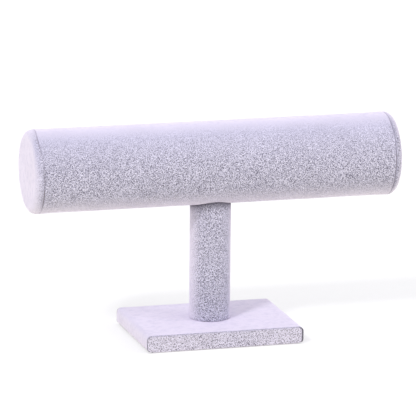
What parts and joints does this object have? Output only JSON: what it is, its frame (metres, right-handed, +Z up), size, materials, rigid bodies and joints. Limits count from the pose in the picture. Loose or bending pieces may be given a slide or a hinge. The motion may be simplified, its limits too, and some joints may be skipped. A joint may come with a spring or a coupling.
{
  "type": "bracelet display stand",
  "caption": "Velvet-covered T-bar stand for showing bracelets: a round horizontal bar on a post and a flat rectangular base.",
  "frame": {"origin": "middle of the underside, on the surface that the stand rests on", "axes": "+X along the bar, to the right as seen from the front; +Z up; the front faces -Y"},
  "size_m": [0.24, 0.077, 0.139],
  "materials": {
    "velvet": "short-pile lavender-grey velvet, matt with a soft sheen",
    "felt": "thin pressed felt, matt",
    "paperboard": "spiral-wound grey-brown board, matt",
    "fibreboard": "raw medium-density fibreboard",
    "beech": "turned dowel, unfinished",
    "zinc_steel": "zinc-plated"
  },
  "bodies": {
    "root": {"bar_tube": "paperboard", "bar_cover": "velvet", "end_plug_left": "fibreboard", "end_plug_right": "fibreboard", "end_cover_left": "velvet", "end_cover_right": "velvet", "bar_washer": "zinc_steel", "bar_screw": "zinc_steel", "post_dowel": "beech", "post_cover": "velvet", "base_board": "fibreboard", "base_wrap": "velvet", "base_front_strip": "velvet", "base_back_strip": "velvet", "base_underlay": "felt", "base_screw": "zinc_steel"}
  },
  "joints": []
}
